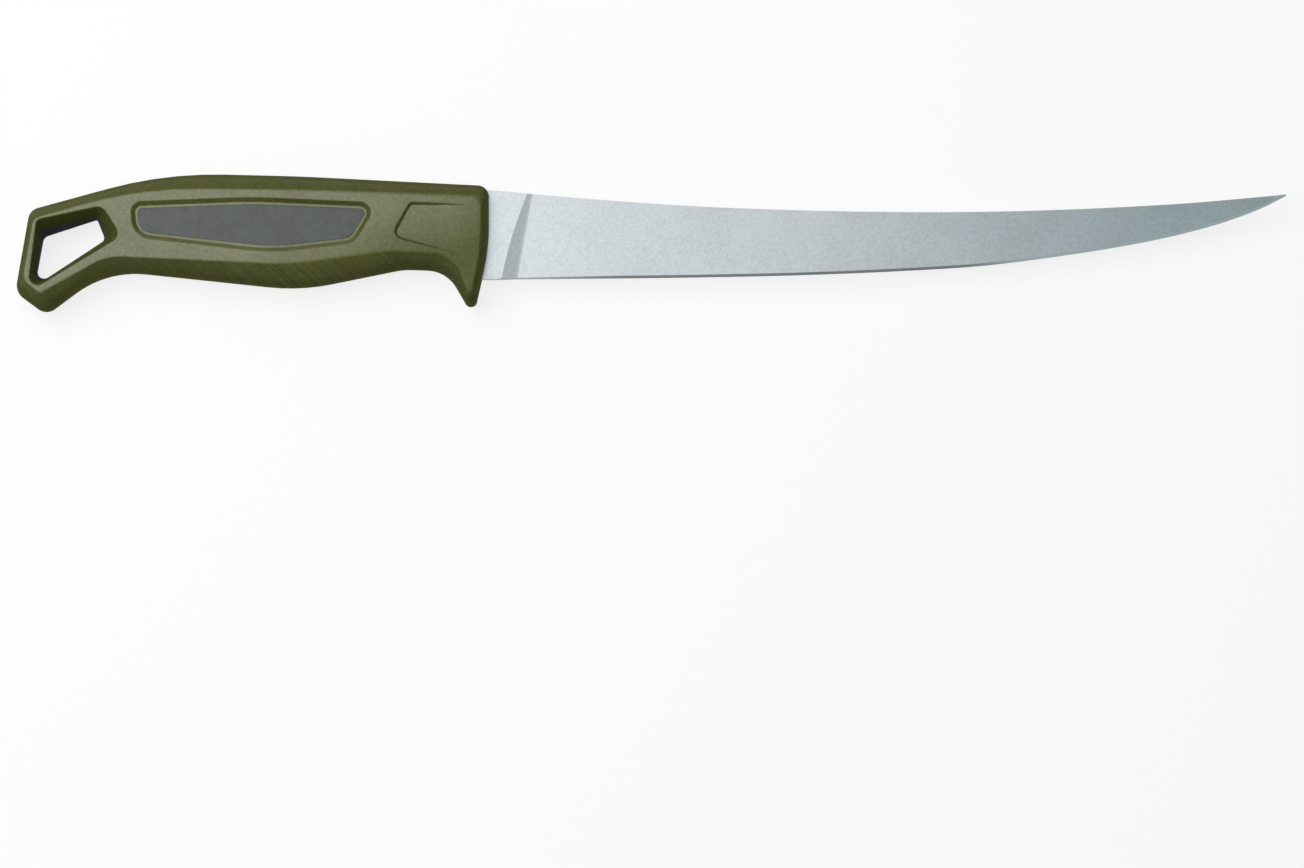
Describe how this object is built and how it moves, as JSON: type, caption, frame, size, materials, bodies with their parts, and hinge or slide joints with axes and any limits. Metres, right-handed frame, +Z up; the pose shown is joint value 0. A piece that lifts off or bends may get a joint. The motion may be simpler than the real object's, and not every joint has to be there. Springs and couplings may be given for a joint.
{
  "type": "fillet knife",
  "caption": "Fillet knife with a long upswept flexible blade, full-height plunge line, finger guard, two-material handle with side panels and a lanyard loop.",
  "frame": {"origin": "middle of the knife's outline seen from above, on the plane that the knife lies on", "axes": "+X from the handle to the blade's tip, +Y from the edge to the spine, +Z up, square to the side of the blade; the knife lies on the side of its handle"},
  "size_m": [0.3654, 0.0398, 0.02],
  "materials": {
    "steel": "fine satin, bead blasted",
    "core": "mottled satin, moulded",
    "grip": "soft matte, moulded"
  },
  "bodies": {
    "root": {"blade": "steel", "handle_core": "core", "grip_overmould": "grip"}
  },
  "joints": []
}
